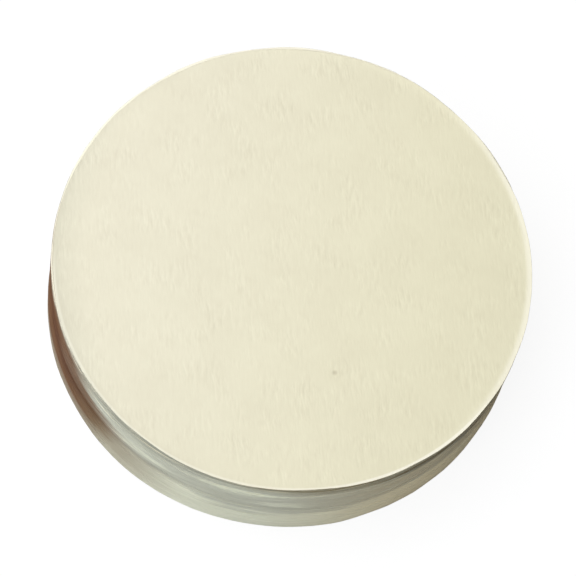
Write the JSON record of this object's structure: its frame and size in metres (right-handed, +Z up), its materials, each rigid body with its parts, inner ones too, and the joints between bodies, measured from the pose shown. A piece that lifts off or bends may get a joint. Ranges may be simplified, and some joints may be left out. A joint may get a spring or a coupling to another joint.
{
  "type": "filter paper disc stack",
  "caption": "Neat stack of flat round filter paper discs with die-cut edges, each a loose sheet that is taken off and folded or laid in a laboratory funnel.",
  "frame": {"origin": "on the surface that the stack stands on, under the middle of its outline", "axes": "+Z up through the discs, -Y towards the picture's viewer"},
  "size_m": [0.0907, 0.0904, 0.021],
  "materials": {
    "paper": "matt, unglazed, faintly fibrous"
  },
  "bodies": {
    "root": {"top_disc": "paper", "disc_stack": "paper"}
  },
  "joints": []
}
